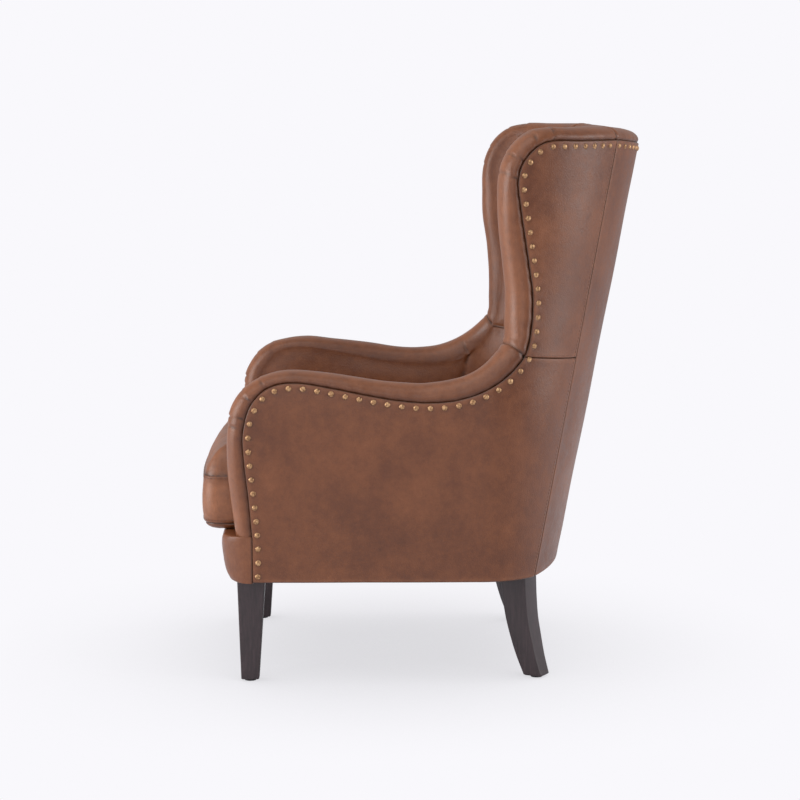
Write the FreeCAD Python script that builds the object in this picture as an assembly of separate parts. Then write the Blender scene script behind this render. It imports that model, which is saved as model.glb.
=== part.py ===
import FreeCAD, Part
import math
import os

# Wingback armchair, in millimetres. The front faces -Y, up is +Z, and the origin is on the
# floor under the middle of the chair. The right-hand half (+X) is built and mirrored.

os.makedirs("parts", exist_ok=True)
V = FreeCAD.Vector

# Heights of the body and the seat
LEG_H = 200.0
RAIL_H = 75.0
RAIL_TOP = LEG_H + RAIL_H
WEB_T = 2.0
DECK_PAD_T = 8.0
DECK_T = 2.0
DECK_TOP = RAIL_TOP + WEB_T + DECK_PAD_T + DECK_T
TOP_Z = 1045.0
TOP_SAG = 11.0
TOP_DROP = 24.0
EDGE_Z = TOP_Z - TOP_DROP
REST_GAP = 0.3

# Layers of the upholstered wall, counted inward from the outside face
SKIN = 3.0
BOARD = 29.0
PAD = 67.0
WALL = 70.0
INTO_ROLL = 4.0
EDGE_GAP = 0.5
PANEL_GAP = 2.0

# Outside of the body in plan: straight sides, rounded corners and a bowed back
CORNER_Y = 100.0
FRONT_Y = -400.0
BACK_Y_LOW = 266.0
BACK_RAKE = 0.192
BACK_BOW = 62.0
SEAM_X_LOW = 287.0
SEAM_TAPER = 0.11
SIDE_HALF = 340.0
SIDE_LEVELS = [(LEG_H, SIDE_HALF), (400.0, SIDE_HALF + 12), (540.0, SIDE_HALF + 20),
               (640.0, SIDE_HALF + 12), (740.0, SIDE_HALF + 2), (850.0, SIDE_HALF),
               (TOP_Z - 95, SIDE_HALF + 3), (TOP_Z - 45, SIDE_HALF + 4.5),
               (TOP_Z + 15, SIDE_HALF + 6)]
LEVELS = [z for z, x in SIDE_LEVELS]

# Padded roll in side view: ridge (y, z) and outside edge (y, z) at each station
ARM_STATIONS = [((-357, DECK_TOP), (-327, DECK_TOP)), ((-366, 360), (-333, 360)),
                ((-371, 430), (-341, 435)), ((-370, 490), (-342, 485)),
                ((-362, 532), (-333, 524)), ((-344, 560), (-321, 546)),
                ((-319, 580), (-303, 564)), ((-280, 593), (-274, 576)),
                ((-241, 597), (-241, 578)), ((-181, 591), (-182, 569)),
                ((-110, 581), (-112, 555)), ((-50, 574), (-52, 545)),
                ((0, 573), (4, 541)), ((40, 577), (52, 545)), ((75, 589), (94, 557)),
                ((106, 608), (132, 577)), ((130, 629), (160, 600)), ((146, 646), (180, 624))]
WING_STATIONS = [ARM_STATIONS[-1], ((150, 690), (194, 680)), ((150, 735), (196, 735)),
                 ((144, 790), (189, 790)), ((133, TOP_Z - 145), (172, TOP_Z - 145)),
                 ((135, TOP_Z - 95), (167, TOP_Z - 100)), ((143, TOP_Z - 60), (172, TOP_Z - 72)),
                 ((160, TOP_Z - 31), (184, TOP_Z - 52)), ((188, TOP_Z - 9), (203, TOP_Z - 34)),
                 ((226, TOP_Z), (230, EDGE_Z))]
HALF_ROOM = 460.0
BACK_END = 460.0
SEAM_END_Y = 300.0
SEAM_END_Z = 611.0

# Frame boards, seat rails and blocks
POST_Y_LOW = 140.0
POST_Y_TOP = 305.0
BOARD_IN = 2.5
ARM_BOARD_W = 55.0
WING_BOARD_W = 45.0
TIE_Y = 231.0
TIE_Z = TOP_Z - 80
TUCK_Z = 330.0
TUCK_H = 55.0
RAIL_Y = -338.0
RAIL_T = 24.0
RAIL_FRONT = RAIL_Y - RAIL_T
RAIL_HALF = SIDE_HALF - BOARD
BLOCK = 110.0
REAR_BLOCK_Y = 150.0
REAR_BLOCK_X = 190.0
SIDE_FRONT_Y = -327.0
FRONT_CORNER = 59.0
FRONT_LEVELS = [(LEG_H, 16.0), (LEG_H + 15, 8.0), (LEG_H + 45, 2.0), (LEG_H + 72, 0.0),
                (DECK_TOP, 5.0)]
FRONT_PAD = 40.0

# Straps, platform and dust cover
STRAPS = 5
STRAP_W = 50.0
STRAP_PITCH = 95.0
STRAP_BACK_Y = 225.0
BACK_STRAPS = 5
BACK_STRAP_Z = 420.0
BACK_STRAP_PITCH = 105.0
STRAP_IN = 14.0
DECK_FRONT_Y = -362.0
DUST_T = 1.5
DUST_INSET = 14.0
DUST_FRONT_Y = -355.0

# Legs: centre (y or run along the turned leg), height and thickness at each level
GLIDE_R = 11.0
GLIDE_H = 4.0
FRONT_LEG_X = 276.0
FRONT_LEG = [(-331.5, LEG_H, 53.0), (-335.0, GLIDE_H, 34.0)]
REAR_LEG_X = 237.0
REAR_LEG_Y = 177.0
REAR_LEG_TURN = 60.0
REAR_LEG = [(0.0, LEG_H, 52.0), (3.5, 0.75 * LEG_H, 50.0), (9.0, 0.55 * LEG_H, 47.5),
            (16.0, 0.4 * LEG_H, 45.5), (27.0, 0.2 * LEG_H, 41.5), (40.0, GLIDE_H, 37.5)]
BOLT_R = 4.0
BOLT_LOW = LEG_H - 35
BOLT_TOP = LEG_H + 55

# Seat cushion: height above its underside and inset from its widest outline
SEAT_HALF = 272.0
SEAT_FRONT_Y = -424.0
SEAT_BACK_Y = 174.0
SEAT_BACK_BOW = 26.0
SEAT_FRONT_R = 34.0
SEAT_BACK_R = 88.0
SEAT_BOW = 8.0
SEAT_LEVELS = [(0.0, 24.0), (4.0, 11.0), (12.0, 3.0), (28.0, 0.0), (60.0, 0.0), (88.0, 2.0),
               (104.0, 1.0), (124.0, 8.0), (143.0, 21.0), (158.0, 42.0), (168.0, 80.0),
               (175.0, 132.0)]

# Nail heads
NAIL_R = 5.5
NAIL_H = 3.2
NAIL_IN = 10.0
NAIL_PITCH = 26.5
NAIL_LOW_Z = LEG_H + 12


def between(z, table):
    # value at height z on a broken line of (z, value) pairs
    for (z0, a), (z1, b) in zip(table, table[1:]):
        if z <= z1:
            return a + (b - a) * (z - z0) / (z1 - z0)
    return table[-1][1]


def plan(z):
    # side distance, corner radius and centre, back radius and centre at one height
    side = between(z, SIDE_LEVELS)
    back = BACK_Y_LOW + BACK_RAKE * (z - LEG_H)
    seam_x = SEAM_X_LOW - SEAM_TAPER * (z - LEG_H)
    run = side - seam_x
    rise = back - BACK_BOW - CORNER_Y
    corner_r = (run * run + rise * rise) / (2 * run)
    back_r = (seam_x * seam_x + BACK_BOW * BACK_BOW) / (2 * BACK_BOW)
    return side, corner_r, V(side - corner_r, CORNER_Y, 0), back_r, V(0, back - back_r, 0)


def angles(z, t):
    # corner arc's end angle and back arc's start angle where they meet, t inward
    side, r1, c1, r2, c2 = plan(z)
    gap = c2.sub(c1)
    turn = math.atan2(gap.y, gap.x)
    seam = math.atan2(c2.y + r2 - BACK_BOW - c1.y, SEAM_X_LOW - SEAM_TAPER * (z - LEG_H) - c1.x)
    r1 = r1 - t
    r2 = r2 - t
    d = gap.Length
    swing = math.acos((r1 * r1 + d * d - r2 * r2) / (2 * r1 * d))
    ways = [math.remainder(turn + swing - seam, 2 * math.pi),
            math.remainder(turn - swing - seam, 2 * math.pi)]
    a1 = seam + min(ways, key=abs)
    x = c1.x + r1 * math.cos(a1)
    y = c1.y + r1 * math.sin(a1)
    return a1, math.atan2(y - c2.y, x - c2.x)


def on_side(z, t, s):
    # point on the right side: s from 0 to 1 along the straight, from 1 to 2 round the corner
    side, r1, c1, r2, c2 = plan(z)
    if s <= 1:
        return V(side - t, FRONT_Y + s * (CORNER_Y - FRONT_Y), z)
    a = angles(z, t)[0] * (s - 1)
    return V(c1.x + (r1 - t) * math.cos(a), c1.y + (r1 - t) * math.sin(a), z)


def on_back(z, t, s):
    # point on the back: s from 0 at the right seam to 1 at the middle and 2 at the left seam
    side, r1, c1, r2, c2 = plan(z)
    a = angles(z, t)[1]
    a = a + (math.pi / 2 - a) * s
    return V((r2 - t) * math.cos(a), c2.y + (r2 - t) * math.sin(a), z)


def arc(a, m, b):
    return Part.Arc(a, m, b).toShape()


def side_wire(z, t0, t1):
    p = [on_side(z, t0, s) for s in (0, 1, 1.5, 2)]
    q = [on_side(z, t1, s) for s in (0, 1, 1.5, 2)]
    return Part.Wire([Part.makeLine(p[0], p[1]), arc(p[1], p[2], p[3]),
                      Part.makeLine(p[3], q[3]), arc(q[3], q[2], q[1]),
                      Part.makeLine(q[1], q[0]), Part.makeLine(q[0], p[0])])


def back_wire(z, t0, t1):
    p = [on_back(z, t0, s) for s in (0, 1, 2)]
    q = [on_back(z, t1, s) for s in (0, 1, 2)]
    return Part.Wire([arc(p[0], p[1], p[2]), Part.makeLine(p[2], q[2]),
                      arc(q[2], q[1], q[0]), Part.makeLine(q[0], p[0])])


def side_layer(t0, t1):
    return Part.makeLoft([side_wire(z, t0, t1) for z in LEVELS], True, True)


def back_layer(t0, t1):
    return Part.makeLoft([back_wire(z, t0, t1) for z in LEVELS], True, True)


def find_side(z, t, y):
    # point on the right side at a wanted y
    lo, hi = 0.0, 2.0
    for i in range(40):
        mid = (lo + hi) / 2
        if on_side(z, t, mid).y < y:
            lo = mid
        else:
            hi = mid
    return on_side(z, t, lo)


def side_normal(z, p):
    side, r1, c1, r2, c2 = plan(z)
    if p.y <= CORNER_Y:
        return V(1, 0, 0)
    return V(p.x - c1.x, p.y - c1.y, 0).normalize()


def leaned(normal, below, above):
    # level outward direction tipped square to the wall, from a point below and one above it
    return V(-normal.y, normal.x, 0).cross(above - below).normalize()


def roll_section(outer, normal, ridge):
    # closed section of the padded roll: rounded over the top, flat where it sits on the wall
    inner = outer - normal * WALL
    base = (outer + inner) * 0.5
    up = ridge - base
    k = math.sqrt(0.5)
    m0 = base + (outer - base) * k + up * k
    m1 = base + (inner - base) * k + up * k
    return Part.Wire([arc(outer, m0, ridge), arc(ridge, m1, inner), Part.makeLine(inner, outer)])


def side_station(ridge_yz, edge_yz):
    outer = find_side(edge_yz[1], 0, edge_yz[0])
    normal = side_normal(edge_yz[1], outer)
    base = outer - normal * (WALL / 2)
    ridge = find_side(ridge_yz[1], WALL / 2, ridge_yz[0])
    across = (ridge - base).dot(normal)
    return roll_section(outer, normal, ridge - normal * across)


def top_corner_station(share):
    # round the corner of the body, from the wing's top towards the back seam
    z = EDGE_Z
    first = find_side(z, 0, WING_STATIONS[-1][1][0])
    side, r1, c1, r2, c2 = plan(z)
    a0 = math.atan2(first.y - c1.y, first.x - c1.x)
    a = a0 + (angles(z, 0)[0] - a0) * share
    n = V(math.cos(a), math.sin(a), 0)
    outer = V(c1.x + r1 * n.x, c1.y + r1 * n.y, z)
    return roll_section(outer, n, outer - n * (WALL / 2) + V(0, 0, TOP_DROP))


def top_back_station(s):
    fall = (TOP_SAG) * (1 - abs(1 - s))
    z = EDGE_Z - fall
    outer = on_back(z, 0, s)
    side, r1, c1, r2, c2 = plan(z)
    n = V(outer.x - c2.x, outer.y - c2.y, 0).normalize()
    return roll_section(outer, n, outer - n * (WALL / 2) + V(0, 0, TOP_DROP))


def edge_points(stations, t, inset):
    # side view of the roll's seat on the wall, at one layer, moved into the wall by inset
    pts = []
    for ridge, edge in stations:
        p = find_side(edge[1], 0, edge[0])
        n = side_normal(edge[1], p)
        q = p - n * t
        way = V(0, edge[0] - ridge[0], edge[1] - ridge[1]).normalize()
        pts.append(V(0, q.y, q.z) + way * inset)
    return pts


def prism(points, x0=-1.0, x1=HALF_ROOM):
    # side-view outline pulled across the chair; the outline may have curved stretches
    edges = []
    flat = []
    for item in points:
        if isinstance(item, list):
            curve = Part.BSplineCurve()
            curve.interpolate(item)
            edges.append(curve.toShape())
            flat.append((item[0], item[-1]))
        else:
            flat.append((item, item))
    k = 0
    out = []
    for i, (start, end) in enumerate(flat):
        if isinstance(points[i], list):
            out.append(edges[k])
            k = k + 1
        nxt = flat[(i + 1) % len(flat)][0]
        if end.sub(nxt).Length > 1e-6:
            out.append(Part.makeLine(end, nxt))
    face = Part.Face(Part.Wire(Part.__sortEdges__(out)))
    face.translate(V(x0, 0, 0))
    return face.extrude(V(x1 - x0, 0, 0))


def largest(shape):
    return sorted(shape.Solids, key=lambda s: s.Volume)[-1]


def mirrored(shape):
    return shape.mirror(V(0, 0, 0), V(1, 0, 0))


def save(name, shape):
    shape.exportStep("parts/" + name + ".step")
    print(name, shape.isValid(), round(shape.Volume / 1000, 1), len(shape.Solids))


def save_pair(name, shape):
    save(name + "_right", shape)
    save(name + "_left", mirrored(shape))


def slab(z0, z1, y0, y1):
    return Part.makeBox(2 * HALF_ROOM, y1 - y0, z1 - z0, V(-HALF_ROOM, y0, z0))


def room_wire(z, t):
    # plan of everything within the wall, t inward from the outside face
    p = [on_side(z, t, s) for s in (0, 1, 1.5, 2)]
    q = on_back(z, t, 1)
    m = [V(-a.x, a.y, a.z) for a in p]
    return Part.Wire([Part.makeLine(p[0], p[1]), arc(p[1], p[2], p[3]), arc(p[3], q, m[3]),
                      arc(m[3], m[2], m[1]), Part.makeLine(m[1], m[0]),
                      Part.makeLine(m[0], p[0])])


def inside(t):
    return Part.makeLoft([room_wire(z, t) for z in LEVELS], True, True)


# Padded rolls: over the front and top of each arm, round each wing, along the top of the back
arm_roll = Part.makeLoft([side_station(r, e) for r, e in ARM_STATIONS], True, True)
wing_wires = [side_station(r, e) for r, e in WING_STATIONS]
wing_wires = wing_wires + [top_corner_station(share) for share in (0.5, 1.0)]
wing_roll = Part.makeLoft(wing_wires, True, True)
corner = top_corner_station(1.0)
back_wires = [corner] + [top_back_station(0.1 + 0.3 * i) for i in range(7)] + [mirrored(corner)]
back_roll = Part.makeLoft(back_wires, True, True)
save_pair("arm_roll", arm_roll)
save_pair("wing_roll", wing_roll)
save("back_top_roll", back_roll)


# Side-view outlines that the wall layers are cut to
def arm_outline(t, low):
    path = edge_points(ARM_STATIONS, t, 0)
    start = V(0, path[0].y, low)
    return prism([start, path, V(0, SEAM_END_Y, SEAM_END_Z), V(0, SEAM_END_Y, low)])


def wing_outline(t, inset=0.0):
    path = edge_points(WING_STATIONS, t, inset)
    top = EDGE_Z
    return prism([path, V(0, HALF_ROOM, top), V(0, HALF_ROOM, SEAM_END_Z),
                  V(0, SEAM_END_Y, SEAM_END_Z)])


def strip(stations, t, inset, width):
    return prism([edge_points(stations, t, inset), edge_points(stations, t, width)[::-1]])


# Leather outside
outer_skin = side_layer(0, SKIN)
save_pair("outside_arm_panel", largest(outer_skin.common(arm_outline(0, LEG_H)).cut(arm_roll)))
below_seam = arm_outline(0, LEG_H)
below_seam.translate(V(0, 0, EDGE_GAP))
wing_panel = outer_skin.common(wing_outline(0, PANEL_GAP)).cut(below_seam)
save_pair("outside_wing_panel", largest(wing_panel))
back_room = slab(LEG_H, EDGE_Z, 0, BACK_END)
back_skin = back_layer(0, SKIN).common(back_room).cut(back_roll)
save("outside_back_panel", largest(back_skin))

# Hardwood frame in the wall
boards = side_layer(SKIN, BOARD)
post_line = [V(0, POST_Y_LOW, LEG_H), V(0, POST_Y_TOP, EDGE_Z), V(0, HALF_ROOM, EDGE_Z),
             V(0, HALF_ROOM, LEG_H)]
back_post = largest(boards.common(prism(post_line)).cut(wing_roll))
rail_line = [V(0, SIDE_FRONT_Y, LEG_H), V(0, HALF_ROOM, LEG_H), V(0, HALF_ROOM, RAIL_TOP),
             V(0, SIDE_FRONT_Y, RAIL_TOP)]
side_rail = largest(boards.common(prism(rail_line)).cut(back_post))
arm_front = edge_points(ARM_STATIONS[:5], SKIN, BOARD_IN)
arm_inner = edge_points(ARM_STATIONS[:5], SKIN, ARM_BOARD_W)
post_foot = [V(0, arm_inner[0].y, RAIL_TOP), V(0, arm_front[0].y, RAIL_TOP)]
arm_post = largest(boards.common(prism(post_foot + [arm_front, arm_inner[::-1]])))
arm_board = boards.common(strip(ARM_STATIONS[4:], SKIN, BOARD_IN, ARM_BOARD_W))
arm_board = largest(arm_board.cut(back_post))
wing_board = boards.common(strip(WING_STATIONS, SKIN, BOARD_IN, WING_BOARD_W))
wing_board = largest(wing_board.cut(back_post))
tie_line = [V(0, TIE_Y, TIE_Z), V(0, HALF_ROOM, TIE_Z), V(0, HALF_ROOM, EDGE_Z),
            V(0, TIE_Y, EDGE_Z)]
wing_tie = boards.common(prism(tie_line)).cut(back_post)
wing_tie = largest(wing_tie.cut(wing_board))
save_pair("back_post", back_post)
save_pair("seat_rail_side", side_rail)
save_pair("arm_front_post", arm_post)
save_pair("arm_board", arm_board)
save_pair("wing_board", wing_board)
save_pair("wing_top_tie", wing_tie)

back_boards = back_layer(SKIN, BOARD)
top_rail = back_boards.common(slab(TIE_Z, EDGE_Z, 0, BACK_END)).cut(back_roll)
save("back_top_rail", largest(top_rail))
save("back_lower_rail", back_boards.common(slab(TUCK_Z, TUCK_Z + TUCK_H, 0, BACK_END)))
save("seat_rail_back", back_boards.common(slab(LEG_H, RAIL_TOP, 0, BACK_END)))

# Front rail with its padding and cover, and the blocks that hold the legs
front_rail = Part.makeBox(2 * RAIL_HALF, RAIL_T, RAIL_TOP - LEG_H, V(-RAIL_HALF, RAIL_FRONT, LEG_H))
save("seat_rail_front", front_rail)

rail_room = front_rail
for shape in (side_rail, mirrored(side_rail), arm_post, mirrored(arm_post)):
    rail_room = rail_room.fuse(shape)


def corner_arc_ring(z, recess, t0, t1):
    # plan of a strip round the front: back along each side to the side panels' front edges
    side = between(z, SIDE_LEVELS)
    r = FRONT_CORNER - recess
    c = V(side - r, SIDE_FRONT_Y, z)
    out = []
    for t in (t0, t1):
        k = (r - t) * math.sqrt(0.5)
        out.append([V(c.x + r - t, c.y, z), V(c.x + k, c.y - k, z), V(c.x, c.y - r + t, z)])
    p, q = out
    m = [[V(-a.x, a.y, a.z) for a in row] for row in out]
    return Part.Wire([arc(*p), Part.makeLine(p[2], m[0][2]), arc(*m[0][::-1]),
                      Part.makeLine(m[0][0], m[1][0]), arc(*m[1]),
                      Part.makeLine(m[1][2], q[2]), arc(*q[::-1]), Part.makeLine(q[0], p[0])])


def front_ring(t0, t1):
    wires = [corner_arc_ring(z, recess, t0, t1) for z, recess in FRONT_LEVELS]
    return Part.makeLoft(wires, True, True)


save("front_rail_cover", front_ring(0, SKIN))

# Legs, with their bolts and glides
def square(centre, size, turn):
    half = size / 2
    pts = []
    for sx, sy in ((-1, -1), (1, -1), (1, 1), (-1, 1)):
        x = half * (sx * math.cos(turn) - sy * math.sin(turn))
        y = half * (sx * math.sin(turn) + sy * math.cos(turn))
        pts.append(centre + V(x, y, 0))
    return Part.makePolygon(pts + [pts[0]])


def bolt_at(x, y, r):
    return Part.makeCylinder(r, BOLT_TOP - BOLT_LOW, V(x, y, BOLT_LOW))


front_leg = Part.makeLoft([square(V(FRONT_LEG_X, y, z), size, 0) for y, z, size in FRONT_LEG],
                          True, True)
turn = math.radians(REAR_LEG_TURN)
rear_wires = []
for back, z, size in REAR_LEG:
    spot = V(REAR_LEG_X + back * math.cos(turn), REAR_LEG_Y + back * math.sin(turn), z)
    rear_wires.append(square(spot, size, turn))
rear_leg = Part.makeLoft(rear_wires, True, True)
front_bolt = (FRONT_LEG_X, FRONT_LEG[0][0])
rear_bolt = (REAR_LEG_X, REAR_LEG_Y)
save_pair("front_leg", front_leg.cut(bolt_at(front_bolt[0], front_bolt[1], BOLT_R)))
save_pair("rear_leg", rear_leg.cut(bolt_at(rear_bolt[0], rear_bolt[1], BOLT_R)))
bolts = []
glides = []
foot = REAR_LEG[-1][0]
feet = [(FRONT_LEG_X, FRONT_LEG[-1][0]),
        (REAR_LEG_X + foot * math.cos(turn), REAR_LEG_Y + foot * math.sin(turn))]
for sign in (1, -1):
    for x, y in (front_bolt, rear_bolt):
        bolts.append(bolt_at(sign * x, y, BOLT_R))
    for x, y in feet:
        glides.append(Part.makeCylinder(GLIDE_R, GLIDE_H, V(sign * x, y, 0)))
save("leg_bolts", Part.Compound(bolts))
save("leg_glides", Part.Compound(glides))

# Corner blocks over the legs
block = [V(RAIL_HALF, RAIL_Y, LEG_H), V(RAIL_HALF - BLOCK, RAIL_Y, LEG_H),
         V(RAIL_HALF, RAIL_Y + BLOCK, LEG_H)]
block = Part.Face(Part.makePolygon(block + [block[0]])).extrude(V(0, 0, RAIL_TOP - LEG_H))
front_block = block.cut(bolt_at(front_bolt[0], front_bolt[1], BOLT_R))
room = inside(BOARD)
block = slab(LEG_H, RAIL_TOP, REAR_BLOCK_Y, BACK_END).common(room)
block = block.common(Part.makeBox(HALF_ROOM, BACK_END, RAIL_TOP, V(REAR_BLOCK_X, 0, 0)))
rear_block = largest(block.cut(bolt_at(rear_bolt[0], rear_bolt[1], BOLT_R)))
blocks = [front_block, mirrored(front_block), rear_block, mirrored(rear_block)]
save("corner_blocks", Part.Compound(blocks))
pad = front_ring(SKIN, FRONT_PAD).cut(rail_room)
save("front_rail_pad", largest(pad.common(slab(LEG_H, DECK_TOP, -HALF_ROOM, RAIL_FRONT))))

# Seat platform: straps, a thin pad and its cover, all between the posts
straps = []
for i in range(STRAPS):
    x = (i - (STRAPS - 1) / 2) * STRAP_PITCH
    length = STRAP_BACK_Y - RAIL_FRONT
    straps.append(Part.makeBox(STRAP_W, length, WEB_T, V(x - STRAP_W / 2, RAIL_FRONT, RAIL_TOP)))
save("seat_webbing", Part.Compound(straps))
low = RAIL_TOP + WEB_T
save("seat_deck_pad", room.common(slab(low, low + DECK_PAD_T, DECK_FRONT_Y, BACK_END)))
low = low + DECK_PAD_T
save("seat_deck_cover", room.common(slab(low, DECK_TOP, DECK_FRONT_Y, BACK_END)))
dust = Part.Face(room_wire(LEG_H, DUST_INSET)).extrude(V(0, 0, -DUST_T))
dust = dust.common(slab(LEG_H - DUST_T, LEG_H, DUST_FRONT_Y, BACK_END))
for leg in (front_leg, mirrored(front_leg), rear_leg, mirrored(rear_leg)):
    dust = dust.cut(leg)
save("dust_cover", largest(dust))

# Straps across the back
straps = []
for i in range(BACK_STRAPS):
    z = BACK_STRAP_Z + i * BACK_STRAP_PITCH
    straps.append(slab(z, z + STRAP_W, 0, BACK_END).common(back_layer(STRAP_IN, STRAP_IN + WEB_T)))
save("back_webbing", Part.Compound(straps))

# Foam inside the boards, and the leather over it
pads = side_layer(BOARD, PAD)
skins = side_layer(PAD, WALL)
arm_cover = largest(skins.common(arm_outline(WALL, DECK_TOP)).cut(arm_roll))
save_pair("arm_pad", largest(pads.common(arm_outline(PAD, DECK_TOP)).cut(arm_roll)))
wing_pad = pads.common(wing_outline(PAD, -INTO_ROLL))
save_pair("wing_pad", largest(wing_pad.cut(wing_roll).cut(back_roll)))
save_pair("inside_arm_cover", arm_cover)
wing_cover = skins.common(wing_outline(WALL, EDGE_GAP)).cut(arm_cover)
save_pair("inside_wing_cover", largest(wing_cover.cut(wing_roll).cut(back_roll)))
back_room = slab(DECK_TOP, EDGE_Z, 0, BACK_END)
save("back_pad", largest(back_layer(BOARD, PAD).common(back_room).cut(back_roll)))
save("inside_back_cover", largest(back_layer(PAD, WALL).common(back_room).cut(back_roll)))


# Loose seat cushion: foam core inside a leather cover
def cushion_wire(z, inset):
    x = SEAT_HALF - inset
    y0 = SEAT_FRONT_Y + inset
    y1 = SEAT_BACK_Y - inset
    rf = max(SEAT_FRONT_R - inset * 0.3, 12.0)
    rb = max(SEAT_BACK_R - inset * 0.3, 12.0)
    k = 1 - math.sqrt(0.5)
    right = [Part.makeLine(V(x, y0 + rf, z), V(x, y1 - rb, z)),
             arc(V(x, y1 - rb, z), V(x - k * rb, y1 - k * rb, z), V(x - rb, y1, z)),
             arc(V(x - rb, y1, z), V(0, y1 + SEAT_BACK_BOW, z), V(rb - x, y1, z)),
             arc(V(rb - x, y1, z), V(k * rb - x, y1 - k * rb, z), V(-x, y1 - rb, z)),
             Part.makeLine(V(-x, y1 - rb, z), V(-x, y0 + rf, z)),
             arc(V(-x, y0 + rf, z), V(k * rf - x, y0 + k * rf, z), V(rf - x, y0, z)),
             arc(V(rf - x, y0, z), V(0, y0 - SEAT_BOW, z), V(x - rf, y0, z)),
             arc(V(x - rf, y0, z), V(x - k * rf, y0 + k * rf, z), V(x, y0 + rf, z))]
    return Part.Wire(right)


def cushion(t):
    wires = []
    for i, (rise, inset) in enumerate(SEAT_LEVELS):
        z = DECK_TOP + REST_GAP + rise
        if i == 0:
            z = z + t
        if i == len(SEAT_LEVELS) - 1:
            z = z - t
        wires.append(cushion_wire(z, inset + t))
    return Part.makeLoft(wires, True, True)


core = cushion(SKIN)
save("seat_cushion_core", core)
save("seat_cushion_cover", cushion(0).cut(core))


# Domed nail heads along the edge of the outside panels
def nail(point, normal):
    ball = (NAIL_R * NAIL_R + NAIL_H * NAIL_H) / (2 * NAIL_H)
    low = math.degrees(math.asin((ball - NAIL_H) / ball))
    head = Part.makeSphere(ball, V(0, 0, NAIL_H - ball), V(0, 0, 1), low, 90, 360)
    seat = point + normal * REST_GAP
    head.Placement = FreeCAD.Placement(seat, FreeCAD.Rotation(V(0, 0, 1), normal))
    return head


def side_nail(z, y):
    point = find_side(z, 0, y)
    below = find_side(z - NAIL_R, 0, y)
    above = find_side(z + NAIL_R, 0, y)
    return nail(point, leaned(side_normal(z, point), below, above))


nails = []
start = edge_points(ARM_STATIONS, 0, NAIL_IN)
path = Part.BSplineCurve()
path.interpolate([V(0, start[0].y, NAIL_LOW_Z)] + start + edge_points(WING_STATIONS, 0, NAIL_IN)[1:])
count = round(path.length() / NAIL_PITCH) + 1
for spot in path.toShape().discretize(Number=count):
    nails.append(side_nail(spot.z, spot.y))
z = EDGE_Z - NAIL_IN
side, r1, c1, r2, c2 = plan(z)
a = math.atan2(nails[-1].CenterOfMass.y - c1.y, nails[-1].CenterOfMass.x - c1.x)
end = angles(z, 0)[0]
steps = round((end - a) * r1 / NAIL_PITCH)
for i in range(1, steps):
    nails.append(side_nail(z, c1.y + r1 * math.sin(a + (end - a) * i / steps)))
save_pair("nail_heads", Part.Compound(nails))
nails = []
sweep = 2 * r2 * (math.pi / 2 - angles(z, 0)[1])
steps = round(sweep / NAIL_PITCH)
for i in range(steps):
    s = (2 * i + 1) / steps
    z = EDGE_Z - NAIL_IN - (TOP_SAG) * (1 - abs(1 - s))
    point = on_back(z, 0, s)
    level = V(point.x, point.y - plan(z)[4].y, 0).normalize()
    lean = leaned(level, on_back(z - NAIL_R, 0, s), on_back(z + NAIL_R, 0, s))
    nails.append(nail(point, lean))
save("nail_heads_back", Part.Compound(nails))
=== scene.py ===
import bmesh
import bpy
import math
import numpy as np
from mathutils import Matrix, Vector
from mathutils.geometry import delaunay_2d_cdt
from mathutils.kdtree import KDTree


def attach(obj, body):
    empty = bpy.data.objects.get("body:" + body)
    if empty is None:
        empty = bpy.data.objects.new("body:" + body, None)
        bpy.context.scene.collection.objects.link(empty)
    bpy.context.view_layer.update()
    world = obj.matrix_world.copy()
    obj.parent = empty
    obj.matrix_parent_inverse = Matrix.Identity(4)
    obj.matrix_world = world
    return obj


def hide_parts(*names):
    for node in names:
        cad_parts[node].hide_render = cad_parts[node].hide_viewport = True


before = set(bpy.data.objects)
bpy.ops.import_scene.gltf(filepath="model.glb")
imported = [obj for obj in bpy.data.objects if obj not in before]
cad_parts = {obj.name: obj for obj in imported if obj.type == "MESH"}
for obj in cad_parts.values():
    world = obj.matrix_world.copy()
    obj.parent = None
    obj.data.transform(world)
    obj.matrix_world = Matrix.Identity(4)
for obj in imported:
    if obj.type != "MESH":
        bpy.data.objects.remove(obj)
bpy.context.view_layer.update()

# Sizes shared by several pieces, in metres, then the light and the camera, its angles in degrees
WALL = .07
MIRROR = np.array((-1, 1, 1))
SIDE_AT_Z = (.2, .4, .54, .64, .74, .85, 1.06)
SIDE_HALF = (.34, .352, .36, .352, .342, .34, .346)
STRAIGHT_Y = .1
BOW = .062
EDGE_Z = 1.021
EDGE_SAG = .011
ROLL_RISE = .024
LEVEL_FRONT = (.180, .624)
LEVEL_Z = .6128
SEAT_Z = .286
BODY_LOW = .200
CUSHION_Z = .2876
ROLL_STEP = .004
EDGE_STEP = .0035
GAP_STEP = .0005
WELD = 2e-5
FOLD_R = .0032
PROUD = .0008
PUFF = .0035
NAIL_PITCH = .0265
NAIL_DENT = .001
RAIL_CORNER = .059
LEG_EDGE = .0028
STITCH_IN = .005
STITCH_UP = .0008
BOX_STITCH_IN = .0052
BOX_STITCH_UP = .0003
WORLD_LIGHT = .55
LAMPS_AIM = (0, 0, .5)
CAMERA_AT = (4.75140, -.11494, 1.10533)
CAMERA_DOWN = 7.2425
CAMERA_ASIDE = .8288
BACKDROP = "#f9f8fc"


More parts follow.
